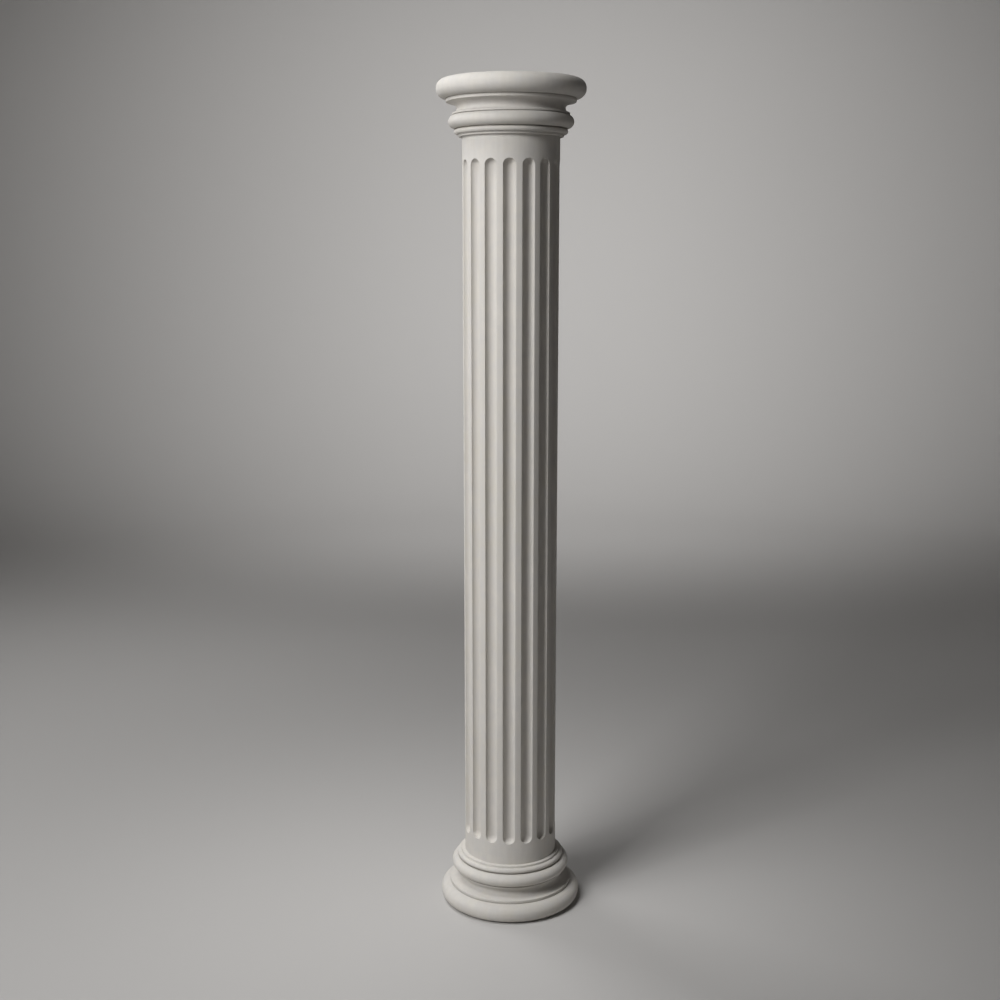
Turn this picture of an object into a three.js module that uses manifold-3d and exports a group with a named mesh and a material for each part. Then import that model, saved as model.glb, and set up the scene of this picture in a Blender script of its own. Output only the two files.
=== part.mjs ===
// A round, free-standing column of off-white cast stone: a fluted shaft between two moulded
// end pieces. The capital has the same mouldings as the base, turned upside down.
//
// Units are millimetres, +Z is up, and the origin is the centre of the column's underside.
// A projection is how far a ring stands out from the face of the shaft.

import * as THREE from 'three';
import { mergeVertices } from 'three/addons/utils/BufferGeometryUtils.js';
import Module from 'manifold-3d';

const wasm = await Module();
wasm.setup();

// Shaft
const shaftRadius = 150;
const shaftHeight = 2303;
const fluteCount = 16;
const fluteWidth = 38.5;
const fluteDepth = 19;
const plainBandHeight = 70;

// Ring mouldings of each end piece, in order from the shaft's end to the column's end
const collarProjection = 11.5;
const collarHeight = 7;
const beadProjection = 24;
const beadHeight = 16.5;
const torusProjection = 42.5;
const torusHeight = 41.5;
// How far the torus stands out from its edge at the bead, and from its edge at the fillet
const torusBulge = 24.5;
const torusFilletBulge = 21;
const narrowFilletProjection = 29.5;
const narrowFilletHeight = 6;
const throatProjection = 16;
const throatRiseFromNarrowFillet = 13.5;
const throatRiseFromWideFillet = 18;
const wideFilletProjection = 49;
const wideFilletHeight = 10;
const rollProjection = 79;
const rollHeight = 59;
const rollBulge = 34;
// Exponent of the roll's section: 2 is an ellipse, and more is fuller at the shoulders
const rollFullness = 2.25;

// Facets of the round surfaces
const ringFacets = 48;
const shaftFacets = 64;
const beadFacets = 4;
const torusFacets = 6;
const throatFacets = 3;
const rollFacets = 8;
const fluteFacets = 16;
const fluteEndFacets = 3;

const ellipseExponent = 2;

// Half of a rounded bar lying round the column, as points (radius, distance from the shaft).
// It stands out by one bulge from its edge near the shaft, and by the other from its far edge.
function roundedBar(start, height, projection, nearBulge, farBulge, exponent, facets) {
  const crest = shaftRadius + projection;
  const middle = start + height / 2;
  const points = [];
  for (let i = 0; i <= facets; i += 1) {
    const angle = -Math.PI / 2 + (Math.PI * i) / facets;
    const bulge = angle < 0 ? nearBulge : farBulge;
    const outward = Math.abs(Math.cos(angle)) ** (2 / exponent);
    const along = Math.sign(Math.sin(angle)) * Math.abs(Math.sin(angle)) ** (2 / exponent);
    points.push(new THREE.Vector2(
      crest - bulge * (1 - outward),
      middle + (height / 2) * along,
    ));
  }
  return points;
}

// The straight face of a fillet
function filletFace(start, height, projection) {
  const radius = shaftRadius + projection;
  return [new THREE.Vector2(radius, start), new THREE.Vector2(radius, start + height)];
}

// The hollow between the two fillets: two quarter ellipses that meet at the throat
function scotiaHollow(start) {
  const throat = shaftRadius + throatProjection;
  const nearReach = narrowFilletProjection - throatProjection;
  const farReach = wideFilletProjection - throatProjection;
  const throatHeight = start + throatRiseFromNarrowFillet;
  const points = [];
  for (let i = 1; i <= throatFacets; i += 1) {
    const angle = (Math.PI / 2) * (i / throatFacets);
    points.push(new THREE.Vector2(
      throat + nearReach * (1 - Math.sin(angle)),
      start + throatRiseFromNarrowFillet * (1 - Math.cos(angle)),
    ));
  }
  for (let i = 1; i < throatFacets; i += 1) {
    const angle = (Math.PI / 2) * (i / throatFacets);
    points.push(new THREE.Vector2(
      throat + farReach * (1 - Math.cos(angle)),
      throatHeight + throatRiseFromWideFillet * Math.sin(angle),
    ));
  }
  return points;
}

// Where each moulding begins, as a distance from the shaft's end
const beadStart = collarHeight;
const torusStart = beadStart + beadHeight;
const narrowFilletStart = torusStart + torusHeight;
const scotiaStart = narrowFilletStart + narrowFilletHeight;
const wideFilletStart = scotiaStart + throatRiseFromNarrowFillet + throatRiseFromWideFillet;
const rollStart = wideFilletStart + wideFilletHeight;
const endPieceHeight = rollStart + rollHeight;

// The whole section of an end piece, from the axis at the shaft to the axis at the far end
function endPieceOutline() {
  return [
    new THREE.Vector2(0, 0),
    ...filletFace(0, collarHeight, collarProjection),
    ...roundedBar(
      beadStart, beadHeight, beadProjection, beadHeight / 2, beadHeight / 2, ellipseExponent,
      beadFacets,
    ),
    ...roundedBar(
      torusStart, torusHeight, torusProjection, torusBulge, torusFilletBulge, ellipseExponent,
      torusFacets,
    ),
    ...filletFace(narrowFilletStart, narrowFilletHeight, narrowFilletProjection),
    ...scotiaHollow(scotiaStart),
    ...filletFace(wideFilletStart, wideFilletHeight, wideFilletProjection),
    ...roundedBar(
      rollStart, rollHeight, rollProjection, rollBulge, rollBulge, rollFullness, rollFacets,
    ),
    new THREE.Vector2(0, endPieceHeight),
  ];
}

// Turns an outline, given from the bottom up, round the Z axis
function turned(outline) {
  const geometry = new THREE.LatheGeometry(outline, ringFacets);
  geometry.rotateX(Math.PI / 2);
  return geometry;
}

function capitalGeometry() {
  return turned(endPieceOutline());
}

function baseGeometry() {
  const upsideDown = endPieceOutline().map(
    (point) => new THREE.Vector2(point.x, endPieceHeight - point.y),
  );
  return turned(upsideDown.reverse());
}

function toSolid(geometry) {
  const bare = geometry.clone();
  bare.deleteAttribute('normal');
  bare.deleteAttribute('uv');
  const merged = mergeVertices(bare);
  return new wasm.Manifold(new wasm.Mesh({
    numProp: 3,
    vertProperties: new Float32Array(merged.attributes.position.array),
    triVerts: new Uint32Array(merged.index.array),
  }));
}

function toGeometry(solid) {
  const mesh = solid.getMesh();
  const geometry = new THREE.BufferGeometry();
  geometry.setAttribute('position', new THREE.BufferAttribute(mesh.vertProperties, 3));
  geometry.setIndex(new THREE.BufferAttribute(mesh.triVerts, 1));
  geometry.computeVertexNormals();
  return geometry;
}

// The round-ended bar of material that is cut away for the flute that faces -Y.
// Its round section passes through both arrises and through the deepest line of the flute.
function fluteCutter() {
  const halfWidth = fluteWidth / 2;
  const deepestLine = shaftRadius - fluteDepth;
  const arrisLine = Math.sqrt(shaftRadius ** 2 - halfWidth ** 2);
  const depthBelowArrises = arrisLine - deepestLine;
  const radius = (halfWidth ** 2 + depthBelowArrises ** 2) / (2 * depthBelowArrises);
  const centreLine = deepestLine + radius;
  const endReach = Math.sqrt(radius ** 2 - (shaftRadius - centreLine) ** 2);
  const straightLength = shaftHeight - 2 * (plainBandHeight + endReach);
  const cutter = new THREE.CapsuleGeometry(radius, straightLength, fluteEndFacets, fluteFacets);
  cutter.rotateX(Math.PI / 2);
  cutter.translate(0, -centreLine, 0);
  return cutter;
}

// The shaft stands on Z = 0
function shaftGeometry() {
  const drum = new THREE.CylinderGeometry(shaftRadius, shaftRadius, shaftHeight, shaftFacets);
  drum.rotateX(Math.PI / 2);
  let shaft = toSolid(drum);
  for (let i = 0; i < fluteCount; i += 1) {
    const cutter = fluteCutter();
    cutter.rotateZ((2 * Math.PI * i) / fluteCount);
    shaft = shaft.subtract(toSolid(cutter));
  }
  const geometry = toGeometry(shaft);
  geometry.translate(0, 0, shaftHeight / 2);
  return geometry;
}

function castStone() {
  return new THREE.MeshStandardMaterial({ color: 0xcbc7bf, roughness: 0.9, metalness: 0 });
}

// Stands a piece with its lower face at the given height
function standing(name, geometry, height) {
  const mesh = new THREE.Mesh(geometry, castStone());
  mesh.name = name;
  mesh.position.z = height;
  return mesh;
}

const shaftFoot = endPieceHeight;
const capitalFoot = shaftFoot + shaftHeight;

const column = new THREE.Group();
column.name = 'doric_column';
column.add(
  standing('base', baseGeometry(), 0),
  standing('shaft', shaftGeometry(), shaftFoot),
  standing('capital', capitalGeometry(), capitalFoot),
);

export default column;
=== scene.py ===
"""A round fluted column of off-white cast stone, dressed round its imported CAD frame.

The column is three castings: a base of ring mouldings, a fluted shaft, and a capital that is the
base turned upside down. Each casting is modelled again here with round mouldings and softened
arrises, and takes the place of its CAD node. Lengths are in metres, and names that end in _mm
are in millimetres.
"""

import logging
import math
from dataclasses import dataclass
from enum import Enum
from typing import Any, Callable, Iterable

import bpy
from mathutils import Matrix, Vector


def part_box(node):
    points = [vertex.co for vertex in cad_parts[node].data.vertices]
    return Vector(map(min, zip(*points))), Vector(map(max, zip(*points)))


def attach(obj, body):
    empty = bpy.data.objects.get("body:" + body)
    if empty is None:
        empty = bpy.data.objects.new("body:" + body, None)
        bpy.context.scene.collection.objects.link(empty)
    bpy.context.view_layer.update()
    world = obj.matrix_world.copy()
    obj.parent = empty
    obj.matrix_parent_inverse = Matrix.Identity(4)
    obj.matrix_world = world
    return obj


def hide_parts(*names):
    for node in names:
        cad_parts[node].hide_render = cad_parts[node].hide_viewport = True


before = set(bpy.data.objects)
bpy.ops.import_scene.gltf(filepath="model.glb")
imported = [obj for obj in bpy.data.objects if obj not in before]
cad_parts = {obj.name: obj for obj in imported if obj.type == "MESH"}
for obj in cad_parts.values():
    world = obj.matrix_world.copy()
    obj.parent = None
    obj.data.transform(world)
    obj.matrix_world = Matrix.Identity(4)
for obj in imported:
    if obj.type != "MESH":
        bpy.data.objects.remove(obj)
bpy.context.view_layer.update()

MM = 0.001
FULL_TURN = 2 * math.pi
QUARTER_TURN = math.pi / 2
MERGE_DISTANCE = 0.005 * MM
TOUCH = 0.02 * MM
SMOOTH_ANGLE = math.radians(35)
SHARP_TURN = math.radians(30)
BODY = "root"

log = logging.getLogger("column")


class Corner(Enum):
    """Which way a corner of a moulding's section points."""

    ARRIS = "out"
    QUIRK = "in"


class End(Enum):
    """Which end of the shaft a moulded casting closes."""

    BASE = "base"
    CAPITAL = "capital"


def srgb(hex_colour: str) -> tuple[float, float, float, float]:
    """Turns an sRGB hex colour into the linear colour that Blender's sockets hold.

    Args:
        hex_colour: Six hex digits, such as "cbc7bf".

    Returns:
        Linear red, green and blue, and an alpha of one.
    """
    channels = [int(hex_colour[i:i + 2], 16) / 255 for i in (0, 2, 4)]
    linear = [c / 12.92 if c <= 0.04045 else ((c + 0.055) / 1.055) ** 2.4 for c in channels]
    return (linear[0], linear[1], linear[2], 1.0)


def select_points(piece: bpy.types.Object, wanted: Callable[[Vector], bool]) -> None:
    """Selects the points of the mesh that is open in edit mode, by their place.

    Args:
        piece: The object whose mesh is open.
        wanted: Says of a point's place whether it is selected.
    """
    bpy.ops.mesh.select_mode(type="VERT")
    bpy.ops.mesh.select_all(action="DESELECT")
    bpy.ops.object.mode_set(mode="OBJECT")
    for point in piece.data.vertices:
        point.select = wanted(point.co)
    bpy.ops.object.mode_set(mode="EDIT")


def start_chain(name: str, first: Vector) -> bpy.types.Object:
    """Adds a small plane, shrinks it to one point and leaves that point open in edit mode.

    Args:
        name: Name of the new object and its mesh.
        first: Where the point goes.

    Returns:
        The new object.
    """
    bpy.ops.object.select_all(action="DESELECT")
    bpy.ops.mesh.primitive_plane_add(size=MM, location=(0.0, 0.0, 0.0))
    piece = bpy.context.object
    piece.name = name
    piece.data.name = name
    bpy.ops.object.mode_set(mode="EDIT")
    bpy.ops.mesh.merge(type="CENTER")
    bpy.ops.transform.translate(value=first)
    return piece


def draw_chain(points: list[Vector]) -> None:
    """Extrudes the selected point along the rest of a section.

    Args:
        points: The section, from the point that is selected.
    """
    for last, point in zip(points, points[1:]):
        bpy.ops.mesh.extrude_vertices_move(TRANSFORM_OT_translate={"value": point - last})


def round_corners(
    piece: bpy.types.Object, corners: Iterable[Vector], radius_mm: float, steps: int
) -> None:
    """Rounds some corners of a section that is open in edit mode.

    Args:
        piece: The object whose section is open.
        corners: The corners' places.
        radius_mm: How far back from a corner its rounding starts.
        steps: Straight steps in each rounding.
    """
    places = list(corners)
    select_points(piece, lambda co: any((co - place).length < TOUCH for place in places))
    bpy.ops.mesh.bevel(
        offset_type="OFFSET", offset=radius_mm * MM, segments=steps, affect="VERTICES",
        clamp_overlap=True,
    )


def close_mesh() -> None:
    """Joins what touches in the open mesh and turns all its faces outwards."""
    bpy.ops.mesh.select_all(action="SELECT")
    bpy.ops.mesh.remove_doubles(threshold=MERGE_DISTANCE)
    bpy.ops.mesh.select_all(action="SELECT")
    bpy.ops.mesh.normals_make_consistent(inside=False)


@dataclass(frozen=True)
class Fillet:
    """A flat, square-edged ring between two rounded mouldings.

    Attributes:
        projection_mm: How far its face stands out from the shaft.
        height_mm: Its height along the shaft.
    """

    projection_mm: float
    height_mm: float

    def section(self, shaft_radius: float, start: float) -> list[Vector]:
        """Gives the two edges of the fillet's face.

        Args:
            shaft_radius: Radius of the shaft.
            start: Distance of the fillet's near edge from the shaft's end.

        Returns:
            Points whose x is the radius and whose z is the distance from the shaft's end.
        """
        radius = shaft_radius + self.projection_mm * MM
        return [Vector((radius, 0.0, start)), Vector((radius, 0.0, start + self.height_mm * MM))]


@dataclass(frozen=True)
class HalfRound:
    """A ring moulding with a rounded face, from the fine bead to the great roll.

    Attributes:
        projection_mm: How far its face stands out from the shaft.
        height_mm: Its height along the shaft.
        near_bulge_mm: How far it stands out from its edge on the shaft's side.
        far_bulge_mm: How far it stands out from its far edge.
        fullness: Exponent of its section, 2 for an ellipse and more for fuller shoulders.
        steps: Straight steps in its section.
    """

    projection_mm: float
    height_mm: float
    near_bulge_mm: float
    far_bulge_mm: float
    fullness: float
    steps: int

    def section(self, shaft_radius: float, start: float) -> list[Vector]:
        """Works out the rounded face, in the way that Fillet.section gives its own.

        Args:
            shaft_radius: Radius of the shaft.
            start: Distance of the moulding's near edge from the shaft's end.

        Returns:
            Points from the near edge to the far one.
        """
        crest = shaft_radius + self.projection_mm * MM
        half_height = self.height_mm * MM / 2
        power = 2 / self.fullness
        points = []
        for step in range(self.steps + 1):
            angle = math.pi * step / self.steps - QUARTER_TURN
            bulge = (self.near_bulge_mm if angle < 0 else self.far_bulge_mm) * MM
            outward = abs(math.cos(angle)) ** power
            along = math.copysign(abs(math.sin(angle)) ** power, angle)
            points.append(Vector((
                crest - bulge * (1 - outward), 0.0, start + half_height * (1 + along),
            )))
        return points


@dataclass(frozen=True)
class Scotia:
    """The hollow between two fillets: two quarter ellipses that meet at its throat.

    Attributes:
        projection_mm: How far the throat, the narrowest ring, stands out from the shaft.
        near_rise_mm: Height from the near fillet to the throat.
        far_rise_mm: Height from the throat to the far fillet.
        near: The fillet on the shaft's side.
        far: The fillet on the far side.
        steps: Straight steps in each quarter ellipse.
    """

    projection_mm: float
    near_rise_mm: float
    far_rise_mm: float
    near: Fillet
    far: Fillet
    steps: int

    @property
    def height_mm(self) -> float:
        """The height of the whole hollow."""
        return self.near_rise_mm + self.far_rise_mm

    def section(self, shaft_radius: float, start: float) -> list[Vector]:
        """Works out the hollow between its fillets' edges, in the way that Fillet.section does.

        Args:
            shaft_radius: Radius of the shaft.
            start: Distance of the hollow's near edge from the shaft's end.

        Returns:
            Points between the two fillets' edges, without those edges.
        """
        throat = shaft_radius + self.projection_mm * MM
        near_reach = (self.near.projection_mm - self.projection_mm) * MM
        far_reach = (self.far.projection_mm - self.projection_mm) * MM
        near_rise = self.near_rise_mm * MM
        points = []
        for step in range(1, self.steps + 1):
            angle = QUARTER_TURN * step / self.steps
            points.append(Vector((
                throat + near_reach * (1 - math.sin(angle)), 0.0,
                start + near_rise * (1 - math.cos(angle)),
            )))
        for step in range(1, self.steps):
            angle = QUARTER_TURN * step / self.steps
            points.append(Vector((
                throat + far_reach * (1 - math.cos(angle)), 0.0,
                start + near_rise + self.far_rise_mm * MM * math.sin(angle),
            )))
        return points


NARROW_FILLET = Fillet(projection_mm=29.5, height_mm=6.0)
WIDE_FILLET = Fillet(projection_mm=49.0, height_mm=10.0)
MOULDINGS = (
    Fillet(projection_mm=11.5, height_mm=7.0),
    HalfRound(
        projection_mm=24.0, height_mm=16.5, near_bulge_mm=8.25, far_bulge_mm=8.25,
        fullness=2.0, steps=14,
    ),
    HalfRound(
        projection_mm=42.5, height_mm=41.5, near_bulge_mm=24.5, far_bulge_mm=21.0,
        fullness=2.0, steps=22,
    ),
    NARROW_FILLET,
    Scotia(
        projection_mm=16.0, near_rise_mm=13.5, far_rise_mm=18.0, near=NARROW_FILLET,
        far=WIDE_FILLET, steps=8,
    ),
    WIDE_FILLET,
    HalfRound(
        projection_mm=79.0, height_mm=59.0, near_bulge_mm=34.0, far_bulge_mm=34.0,
        fullness=2.25, steps=30,
    ),
)


@dataclass
class MouldedEnd:
    """One moulded casting, the base or the capital.

    Attributes:
        end: Which end of the shaft it closes.
        shaft_radius: Radius of the shaft that it meets.
        meets_shaft_at: Height of the face where it meets the shaft.
        arris_round_mm: How far back the outer edges are rounded.
        arris_steps: Straight steps in the rounding of an outer edge.
        quirk_round_mm: How far back the inner corners are rounded.
        quirk_steps: Straight steps in the rounding of an inner corner.
        turn_steps: Steps round the column.
    """

    end: End
    shaft_radius: float
    meets_shaft_at: float
    arris_round_mm: float = 1.4
    arris_steps: int = 3
    quirk_round_mm: float = 0.4
    quirk_steps: int = 2
    turn_steps: int = 192

    def corners(self, points: list[Vector], kind: Corner) -> list[Vector]:
        """Finds the corners of the section that the mould leaves a little round.

        Args:
            points: The whole section.
            kind: Whether the outer or the inner corners are wanted.

        Returns:
            The places of those corners.
        """
        found = []
        for before, here, after in zip(points, points[1:], points[2:]):
            into, out = here - before, after - here
            turn = math.atan2(into.x * out.z - into.z * out.x, into.x * out.x + into.z * out.z)
            if abs(turn) > SHARP_TURN and (turn > 0) == (kind is Corner.ARRIS):
                found.append(here)
        return found

    def outline(self) -> list[Vector]:
        """Stacks the mouldings' sections, from the axis at the shaft to the axis at the end."""
        points = [Vector((0.0, 0.0, 0.0))]
        start = 0.0
        for moulding in MOULDINGS:
            points += moulding.section(self.shaft_radius, start)
            start += moulding.height_mm * MM
        return points + [Vector((0.0, 0.0, start))]

    def build(self) -> bpy.types.Object:
        """Draws the section as a chain of points and turns it round the column's axis.

        Returns:
            The casting, in its place.
        """
        points = self.outline()
        piece = start_chain(self.end.value + "_casting", points[0])
        draw_chain(points)
        arrises = self.corners(points, Corner.ARRIS)
        quirks = self.corners(points, Corner.QUIRK)
        round_corners(piece, arrises, self.arris_round_mm, self.arris_steps)
        round_corners(piece, quirks, self.quirk_round_mm, self.quirk_steps)
        bpy.ops.mesh.select_all(action="SELECT")
        bpy.ops.mesh.spin(
            steps=self.turn_steps, angle=FULL_TURN, center=(0.0, 0.0, 0.0), axis=(0.0, 0.0, 1.0),
        )
        bpy.ops.mesh.select_all(action="SELECT")
        if self.end is End.BASE:
            bpy.ops.transform.resize(value=(1.0, 1.0, -1.0), center_override=(0.0, 0.0, 0.0))
        bpy.ops.transform.translate(value=(0.0, 0.0, self.meets_shaft_at))
        close_mesh()
        bpy.ops.object.mode_set(mode="OBJECT")
        bpy.ops.object.shade_smooth_by_angle(angle=SMOOTH_ANGLE)
        return piece


@dataclass
class FlutedShaft:
    """The straight round shaft, with round-ended flutes between flat lands.

    One quarter of one flute's bay is modelled flat, with x along the girth, y into the stone and
    z up from the shaft's middle. It is mirrored, repeated, and rolled up into the round shaft.

    Attributes:
        radius: Radius of the shaft.
        height: Its height.
        foot: Height of its lower face.
        flutes: Number of flutes.
        flute_width_mm: Width of a flute from arris to arris.
        flute_depth_mm: Depth of a flute at its middle.
        plain_band_mm: Height of the plain band from the shaft's end to the flutes' ends.
        arris_round_mm: How far back a flute's arris is rounded.
        arris_steps: Straight steps in that rounding.
        flute_steps: Straight steps from a flute's deepest line to its arris.
        land_steps: Straight steps from an arris to the middle of the land.
        end_steps: Steps round a quarter of a flute's rounded end.
        level_rise_bays: How many bays above the centre of a flute's end the mesh runs level.
    """

    radius: float
    height: float
    foot: float
    flutes: int = 16
    flute_width_mm: float = 38.5
    flute_depth_mm: float = 19.0
    plain_band_mm: float = 70.0
    arris_round_mm: float = 1.2
    arris_steps: int = 4
    flute_steps: int = 12
    land_steps: int = 3
    end_steps: int = 12
    level_rise_bays: float = 0.58

    @property
    def bay(self) -> float:
        """The girth that one flute and its land take up."""
        return FULL_TURN * self.radius / self.flutes

    def flute_section(self) -> list[Vector]:
        """Works out half of a flute's round section, unrolled flat.

        Returns:
            Points from the deepest line to the arris.
        """
        half_width = self.flute_width_mm * MM / 2
        deepest = self.radius - self.flute_depth_mm * MM
        arris_line = math.sqrt(self.radius ** 2 - half_width ** 2)
        rise = arris_line - deepest
        cutter = (half_width ** 2 + rise ** 2) / (2 * rise)
        centre = deepest + cutter
        arris_angle = math.atan2(half_width, centre - arris_line)
        points = []
        for step in range(self.flute_steps + 1):
            angle = arris_angle * step / self.flute_steps
            across, outward = cutter * math.sin(angle), centre - cutter * math.cos(angle)
            points.append(Vector((
                self.radius * math.atan2(across, outward),
                self.radius - math.hypot(across, outward), 0.0,
            )))
        return points

    def build_quarter_bay(self) -> bpy.types.Object:
        """Models a quarter of one bay: half a flute's width, from mid-height to the top.

        Returns:
            The flat quarter bay, in object mode.
        """
        section = self.flute_section()
        arris = section[-1]
        half_bay = self.bay / 2
        for step in range(1, self.land_steps + 1):
            share = step / self.land_steps
            section.append(Vector((arris.x + (half_bay - arris.x) * share, 0.0, 0.0)))
        arch_centre = self.height / 2 - self.plain_band_mm * MM - arris.x
        rise = Vector((0.0, 0.0, arch_centre))
        section = [point + rise for point in section]
        piece = start_chain("shaft_casting", section[0])
        draw_chain(section)
        round_corners(piece, [arris + rise], self.arris_round_mm, self.arris_steps)

        bpy.ops.mesh.select_all(action="SELECT")
        bpy.ops.mesh.spin(
            steps=self.end_steps, angle=QUARTER_TURN, center=rise, axis=(0.0, 1.0, 0.0),
        )
        select_points(piece, lambda co: abs(co.z - arch_centre) < TOUCH)
        bpy.ops.mesh.extrude_edges_move(
            TRANSFORM_OT_translate={"value": (0.0, 0.0, -arch_centre)},
        )

        level = arch_centre + self.bay * self.level_rise_bays
        select_points(piece, lambda co: (
            co.z > arch_centre - TOUCH
            and abs(math.hypot(co.x, co.z - arch_centre) - half_bay) < TOUCH
        ))
        bpy.ops.mesh.extrude_edges_move(TRANSFORM_OT_translate={"value": (0.0, 0.0, 0.0)})
        bpy.ops.transform.resize(value=(1.0, 1.0, 0.0), center_override=(0.0, 0.0, level))
        bpy.ops.mesh.extrude_edges_move(
            TRANSFORM_OT_translate={"value": (0.0, 0.0, self.height / 2 - level)},
        )
        close_mesh()
        bpy.ops.object.mode_set(mode="OBJECT")
        return piece

    def repeat_bay(self, piece: bpy.types.Object) -> None:
        """Mirrors the quarter bay into a whole one and repeats it along the girth.

        Args:
            piece: The flat quarter bay.
        """
        mirror = piece.modifiers.new("whole_bay", "MIRROR")
        mirror.use_axis = (True, False, True)
        mirror.merge_threshold = MERGE_DISTANCE
        bpy.ops.object.modifier_apply(modifier=mirror.name)
        array = piece.modifiers.new("all_bays", "ARRAY")
        array.count = self.flutes
        array.use_relative_offset = False
        array.use_constant_offset = True
        array.constant_offset_displace = (self.bay, 0.0, 0.0)
        array.use_merge_vertices = True
        array.merge_threshold = TOUCH
        bpy.ops.object.modifier_apply(modifier=array.name)

    def roll_up(self, piece: bpy.types.Object) -> None:
        """Rolls the flat sheet of bays into the round shaft and closes its two ends.

        Args:
            piece: The flat sheet of bays, whose first bay is centred on x = 0.
        """
        roll = piece.modifiers.new("roll_up", "SIMPLE_DEFORM")
        roll.deform_method = "BEND"
        roll.deform_axis = "Z"
        roll.angle = FULL_TURN
        bpy.ops.object.modifier_apply(modifier=roll.name)
        bpy.ops.object.mode_set(mode="EDIT")
        bpy.ops.mesh.select_all(action="SELECT")
        bpy.ops.mesh.remove_doubles(threshold=TOUCH)
        for end_height in (-self.height / 2, self.height / 2):
            select_points(piece, lambda co: abs(co.z - end_height) < TOUCH)
            bpy.ops.mesh.edge_face_add()
        bpy.ops.mesh.select_all(action="SELECT")
        bpy.ops.transform.translate(value=(0.0, -self.radius, self.foot + self.height / 2))
        close_mesh()
        bpy.ops.object.mode_set(mode="OBJECT")

    def build(self) -> bpy.types.Object:
        """Models the whole shaft.

        Returns:
            The casting, in its place.
        """
        piece = self.build_quarter_bay()
        self.repeat_bay(piece)
        self.roll_up(piece)
        bpy.ops.object.shade_smooth_by_angle(angle=SMOOTH_ANGLE)
        return piece


class NodeSheet:
    """A material's node tree, to which nodes are added one at a time."""

    def __init__(self, name: str) -> None:
        """Starts a material with a Principled shader.

        Args:
            name: The material's name.
        """
        self.material = bpy.data.materials.new(name)
        self.material.use_nodes = True
        self.tree = self.material.node_tree
        self.shader = self.tree.nodes["Principled BSDF"]

    def add(self, kind: str, settings: dict[str, Any] | None = None,
            inputs: dict[str, Any] | None = None) -> bpy.types.Node:
        """Adds a node with its settings and links.

        Args:
            kind: Blender's name for the kind of node.
            settings: Properties of the node.
            inputs: Its sockets' values, or the output sockets that feed them.

        Returns:
            The new node.
        """
        node = self.tree.nodes.new(kind)
        for key, value in (settings or {}).items():
            setattr(node, key, value)
        for key, value in (inputs or {}).items():
            self.feed(node.inputs[key], value)
        return node

    def feed(self, socket: bpy.types.NodeSocket, value: Any) -> None:
        """Links a socket to an output socket, or gives it a plain value.

        Args:
            socket: The socket to feed.
            value: An output socket or a value.
        """
        if isinstance(value, bpy.types.NodeSocket):
            self.tree.links.new(value, socket)
        else:
            socket.default_value = value


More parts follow.
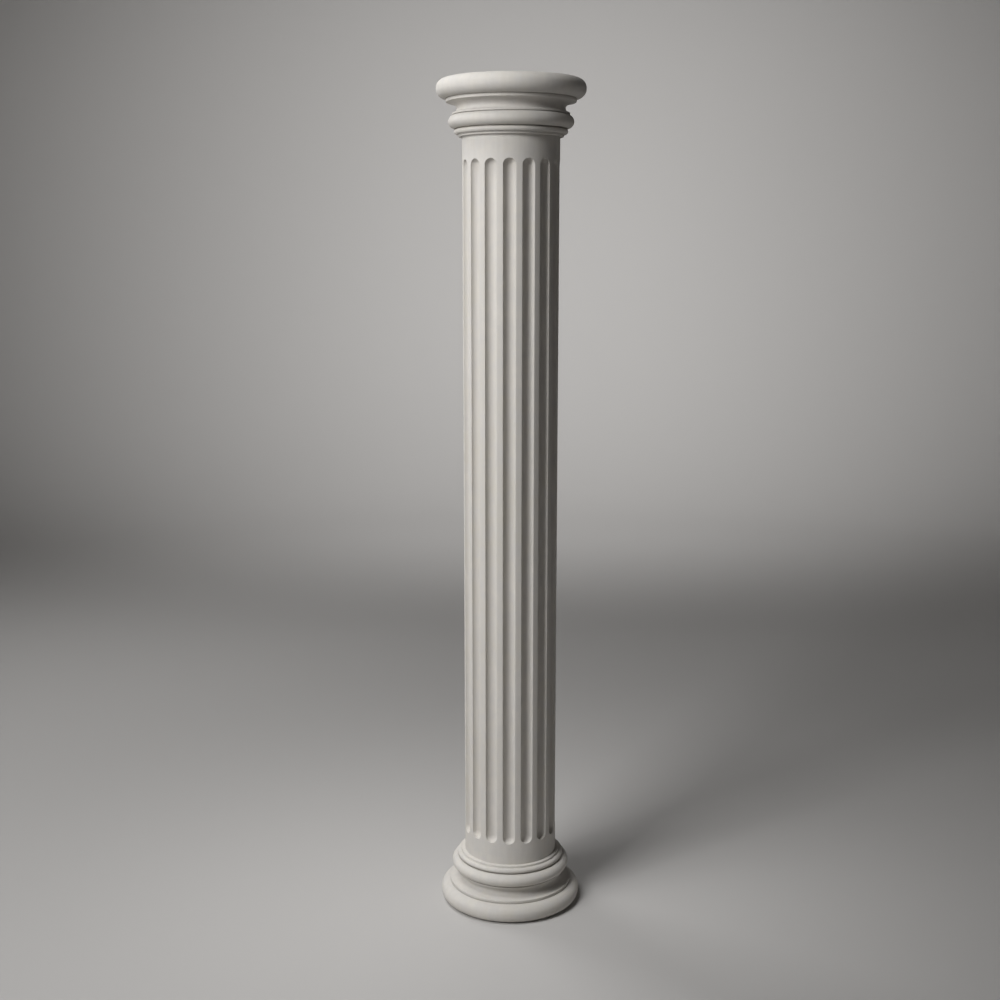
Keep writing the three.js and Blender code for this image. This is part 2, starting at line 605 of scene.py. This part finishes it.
@dataclass(frozen=True)
class CastStone:
    """Cast stone: white cement and marble dust, poured in a mould and rubbed smooth.

    It looks off-white and fully matt, with broad warm and grey clouds where the mix dried
    unevenly, small blotches and faint upright streaks where water has run down it. Its inner
    corners and hollows get painted shade: a darker, warmer colour where the surface is closed
    in, partly dust and partly the shade that falls there. Its sandy grain is drawn a few times
    coarser than the real one, so that it shows.

    Attributes:
        pale: Colour of the driest clouds.
        warm: Colour of the warm clouds.
        grey: Colour of the blotches.
        stain: Colour of the streaks.
        corner_shade_and_dust: Colour of the painted shade and dust in the inner corners.
        cloud_mm: Width of a cloud.
        blotch_mm: Width of a blotch.
        streak_mm: Width of a streak.
        streak_stretch: How many times a streak is longer than it is wide.
        streak_strength: How much of the streaks' colour shows.
        shade_and_dust_reach_mm: How close the walls of a corner stand where the painted shade
            and dust gather.
        shade_and_dust_strength: How much of the painted shade and dust colour shows at most.
        thickest_shade_openness: How open a corner is, from 0 to 1, where the painted shade and
            dust are at their thickest.
        shade_end_openness: How open the surface is where the painted shade and dust end.
        corner_samples: Rays that look for a corner.
        grain_mm: Width of a grain.
        grain_depth_mm: How far a grain stands out.
        noise_detail: Finer layers in each pattern's noise.
        noise_roughness: How strong those finer layers are.
        noise_low: Noise value where a pattern's patch starts to show.
        noise_high: Noise value where it shows fully.
        roughness: Roughness of the rubbed face.
    """

    pale: str = "d1cdc7"
    warm: str = "ccc8c0"
    grey: str = "cbc8c4"
    stain: str = "c0bbb3"
    corner_shade_and_dust: str = "756c60"
    cloud_mm: float = 260.0
    blotch_mm: float = 42.0
    streak_mm: float = 13.0
    streak_stretch: float = 9.0
    streak_strength: float = 0.2
    shade_and_dust_reach_mm: float = 11.0
    shade_and_dust_strength: float = 0.58
    thickest_shade_openness: float = 0.3
    shade_end_openness: float = 0.8
    corner_samples: int = 8
    grain_mm: float = 3.5
    grain_depth_mm: float = 0.1
    noise_detail: float = 3.0
    noise_roughness: float = 0.55
    noise_low: float = 0.32
    noise_high: float = 0.68
    roughness: float = 0.9

    def pattern(
        self, sheet: NodeSheet, place: bpy.types.NodeSocket, width_mm: float, most: float = 1.0
    ) -> bpy.types.NodeSocket:
        """Adds soft noise of one width, with its contrast drawn out.

        Args:
            sheet: The material's node tree.
            place: The place that the noise is read at.
            width_mm: Width of its patches.
            most: The highest value that it reaches.

        Returns:
            A socket that runs from nought to that value.
        """
        noise = sheet.add("ShaderNodeTexNoise", inputs={
            "Vector": place, "Scale": 1 / (width_mm * MM),
            "Detail": self.noise_detail, "Roughness": self.noise_roughness,
        })
        drawn_out = sheet.add("ShaderNodeMapRange", {"interpolation_type": "SMOOTHSTEP"}, {
            "Value": noise.outputs["Fac"], "From Min": self.noise_low,
            "From Max": self.noise_high, "To Max": most,
        })
        return drawn_out.outputs["Result"]

    def make(self) -> bpy.types.Material:
        """Makes the material.

        Returns:
            The finished material.
        """
        sheet = NodeSheet("cast_stone")
        place = sheet.add("ShaderNodeTexCoord").outputs["Object"]
        upright = sheet.add("ShaderNodeMapping", inputs={
            "Vector": place, "Scale": (1.0, 1.0, 1 / self.streak_stretch),
        })
        clouded = sheet.add("ShaderNodeMix", {"data_type": "RGBA"}, {
            "Factor": self.pattern(sheet, place, self.cloud_mm),
            "A": srgb(self.pale), "B": srgb(self.warm),
        })
        blotched = sheet.add("ShaderNodeMix", {"data_type": "RGBA"}, {
            "Factor": self.pattern(sheet, place, self.blotch_mm),
            "A": clouded.outputs["Result"], "B": srgb(self.grey),
        })
        streaked = sheet.add("ShaderNodeMix", {"data_type": "RGBA"}, {
            "Factor": self.pattern(
                sheet, upright.outputs["Vector"], self.streak_mm, self.streak_strength,
            ),
            "A": blotched.outputs["Result"], "B": srgb(self.stain),
        })
        # Painted shade: where the surface is closed in, the stone's colour is darkened and
        # warmed, as dust and as the shade that falls in corners and hollows.
        openness = sheet.add(
            "ShaderNodeAmbientOcclusion",
            {"samples": self.corner_samples, "only_local": True},
            {"Distance": self.shade_and_dust_reach_mm * MM},
        )
        shade_and_dust_amount = sheet.add("ShaderNodeMapRange", {"interpolation_type": "SMOOTHSTEP"}, {
            "Value": openness.outputs["AO"], "From Min": self.thickest_shade_openness, "From Max": self.shade_end_openness,
            "To Min": self.shade_and_dust_strength, "To Max": 0.0,
        })
        shaded_and_dusty = sheet.add("ShaderNodeMix", {"data_type": "RGBA"}, {
            "Factor": shade_and_dust_amount.outputs["Result"],
            "A": streaked.outputs["Result"], "B": srgb(self.corner_shade_and_dust),
        })
        bump = sheet.add("ShaderNodeBump", inputs={
            "Strength": 1.0, "Distance": self.grain_depth_mm * MM,
            "Height": self.pattern(sheet, place, self.grain_mm),
        })
        sheet.feed(sheet.shader.inputs["Base Color"], shaded_and_dusty.outputs["Result"])
        sheet.feed(sheet.shader.inputs["Roughness"], self.roughness)
        sheet.feed(sheet.shader.inputs["Normal"], bump.outputs["Normal"])
        return sheet.material


@dataclass(frozen=True)
class PaleFloor:
    """Matt paint on a studio floor: an even pale grey that throws soft light back up."""

    colour: str = "bfbdbb"
    roughness: float = 0.85

    def make(self) -> bpy.types.Material:
        """Makes the floor's material."""
        sheet = NodeSheet("studio_floor_paint")
        sheet.feed(sheet.shader.inputs["Base Color"], srgb(self.colour))
        sheet.feed(sheet.shader.inputs["Roughness"], self.roughness)
        return sheet.material


@dataclass(frozen=True)
class ViewPoint:
    """The camera, where the photograph was taken from.

    It stands a little to the left of a line from the column's front flute, above mid-height,
    and looks slightly down.

    Attributes:
        lens_mm: Focal length.
        sensor_mm: Width of the sensor.
        distance: Distance from the column's axis, along the view.
        sideways: How far the camera stands to the right of the column's axis.
        height: Height above the floor.
        heading_deg: How far the camera has walked round the column to the right.
        pitch_deg: How far it looks down.
    """

    lens_mm: float = 50.0
    sensor_mm: float = 36.0
    distance: float = 4.372
    sideways: float = -0.034
    height: float = 2.148
    heading_deg: float = 2.2
    pitch_deg: float = 10.37

    def place(self) -> None:
        """Makes the camera and hands it to the scene."""
        camera = bpy.data.cameras.new("photo_camera")
        camera.lens = self.lens_mm
        camera.sensor_width = self.sensor_mm
        holder = bpy.data.objects.new("photo_camera", camera)
        bpy.context.scene.collection.objects.link(holder)
        heading = math.radians(self.heading_deg)
        holder.location = (
            self.sideways * math.cos(heading) + self.distance * math.sin(heading),
            self.sideways * math.sin(heading) - self.distance * math.cos(heading),
            self.height,
        )
        holder.rotation_euler = (math.radians(90 - self.pitch_deg), 0.0, heading)
        bpy.context.scene.camera = holder


@dataclass(frozen=True)
class SoftBox:
    """A square studio light.

    Attributes:
        name: Name of the light.
        azimuth_deg: Its direction from the column, from the front round to the right.
        reach: Its distance from the column's axis.
        height: Its height above the floor.
        faces: The point that it faces.
        size: Length of its side.
        power: Its power in watts.
        spread_deg: Width of its beam, which is less than 180 for a box with a grid in front.
    """

    name: str
    azimuth_deg: float
    reach: float
    height: float
    faces: tuple[float, float, float]
    size: float
    power: float
    spread_deg: float = 180.0

    def place(self) -> None:
        """Sets up the light."""
        lamp = bpy.data.lights.new(self.name, "AREA")
        lamp.shape = "SQUARE"
        lamp.size = self.size
        lamp.energy = self.power
        lamp.spread = math.radians(self.spread_deg)
        holder = bpy.data.objects.new(self.name, lamp)
        bpy.context.scene.collection.objects.link(holder)
        azimuth = math.radians(self.azimuth_deg)
        holder.location = (
            self.reach * math.sin(azimuth), -self.reach * math.cos(azimuth), self.height,
        )
        away = holder.location - Vector(self.faces)
        holder.rotation_euler = away.to_track_quat("Z", "Y").to_euler()
        holder.visible_camera = False


# The places that the lights face
MIDDLE = (0.0, 0.0, 1.32)
FOOT = (0.0, 0.0, 0.1)
WALL_BEHIND = (0.0, 10.0, 1.5)
WALL_IN_FRONT = (0.0, -10.0, 1.5)
WALL_AT_LEFT = (-10.0, 0.0, 1.5)


@dataclass(frozen=True)
class Studio:
    """A plain pale floor that sweeps up into a round wall, under plain soft light.

    Attributes:
        floor_radius: Radius of the flat floor.
        sweep_radius: Radius of the curve from the floor to the wall.
        wall_height: Height of the wall above that curve.
        sweep_steps: Straight steps in that curve.
        turn_steps: Steps round the room.
        sky: Colour of the faint even light all round.
        sky_strength: Strength of that light.
        lights: The studio lights.
    """

    floor_radius: float = 6.5
    sweep_radius: float = 3.5
    wall_height: float = 5.0
    sweep_steps: int = 24
    turn_steps: int = 96
    sky: str = "e2e2e2"
    sky_strength: float = 0.01
    lights: tuple[SoftBox, ...] = (
        SoftBox("key", -39.0, 3.5, 3.95, MIDDLE, 1.4, 97.0),
        SoftBox("low_key", -55.0, 4.7, 3.0, MIDDLE, 1.6, 36.0),
        SoftBox("side", -75.0, 5.0, 1.8, MIDDLE, 1.6, 15.0),
        SoftBox("overhead", -46.0, 1.5, 4.6, FOOT, 1.2, 4.3, spread_deg=42.0),
        SoftBox("back", -135.0, 4.0, 4.2, MIDDLE, 1.8, 65.0),
        SoftBox("wall_behind", 180.0, 3.0, 5.0, WALL_BEHIND, 3.0, 125.0, spread_deg=100.0),
        SoftBox("wall_in_front", 0.0, 3.0, 5.0, WALL_IN_FRONT, 3.0, 30.0, spread_deg=100.0),
        SoftBox("wall_at_left", -90.0, 3.0, 5.0, WALL_AT_LEFT, 3.0, 60.0, spread_deg=100.0),
    )

    def lay_floor(self) -> None:
        """Spins a floor, its sweep and its wall round the column."""
        points = [Vector((0.0, 0.0, 0.0))]
        for step in range(self.sweep_steps + 1):
            angle = QUARTER_TURN * step / self.sweep_steps
            points.append(Vector((
                self.floor_radius + self.sweep_radius * math.sin(angle), 0.0,
                self.sweep_radius * (1 - math.cos(angle)),
            )))
        points.append(points[-1] + Vector((0.0, 0.0, self.wall_height)))
        floor = start_chain("studio_floor", points[0])
        draw_chain(points)
        bpy.ops.mesh.select_all(action="SELECT")
        bpy.ops.mesh.spin(
            steps=self.turn_steps, angle=FULL_TURN, center=(0.0, 0.0, 0.0), axis=(0.0, 0.0, 1.0),
        )
        bpy.ops.mesh.select_all(action="SELECT")
        bpy.ops.mesh.remove_doubles(threshold=MERGE_DISTANCE)
        bpy.ops.object.mode_set(mode="OBJECT")
        bpy.ops.object.shade_smooth()
        floor.data.materials.append(PaleFloor().make())

    def set_up(self) -> None:
        """Lays the floor and sets up the lights."""
        self.lay_floor()
        for light in self.lights:
            light.place()
        world = bpy.data.worlds.new("studio_air")
        world.use_nodes = True
        background = world.node_tree.nodes["Background"]
        background.inputs["Color"].default_value = srgb(self.sky)
        background.inputs["Strength"].default_value = self.sky_strength
        bpy.context.scene.world = world
        bpy.context.scene.view_settings.view_transform = "Standard"


def dress(piece: bpy.types.Object, node: str, finish: bpy.types.Material) -> None:
    """Gives a casting its finish and sets it in place of its CAD node.

    Args:
        piece: The casting.
        node: The CAD node that it stands for.
        finish: Its material.
    """
    piece.data.materials.clear()
    piece.data.materials.append(finish)
    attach(piece, BODY)
    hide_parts(node)
    piece.data.calc_loop_triangles()
    log.info("%s: %d triangles", piece.name, len(piece.data.loop_triangles))


def main() -> None:
    """Builds the column, its floor, its light and its camera."""
    logging.basicConfig(level=logging.INFO, format="%(name)s: %(message)s")
    shaft_low, shaft_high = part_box("shaft")
    shaft_radius = (shaft_high.x - shaft_low.x) / 2
    finish = CastStone().make()
    base = MouldedEnd(End.BASE, shaft_radius, shaft_low.z)
    shaft = FlutedShaft(shaft_radius, shaft_high.z - shaft_low.z, shaft_low.z)
    capital = MouldedEnd(End.CAPITAL, shaft_radius, shaft_high.z)
    dress(base.build(), "base", finish)
    dress(shaft.build(), "shaft", finish)
    dress(capital.build(), "capital", finish)
    Studio().set_up()
    ViewPoint().place()


if __name__ == "__main__":
    main()
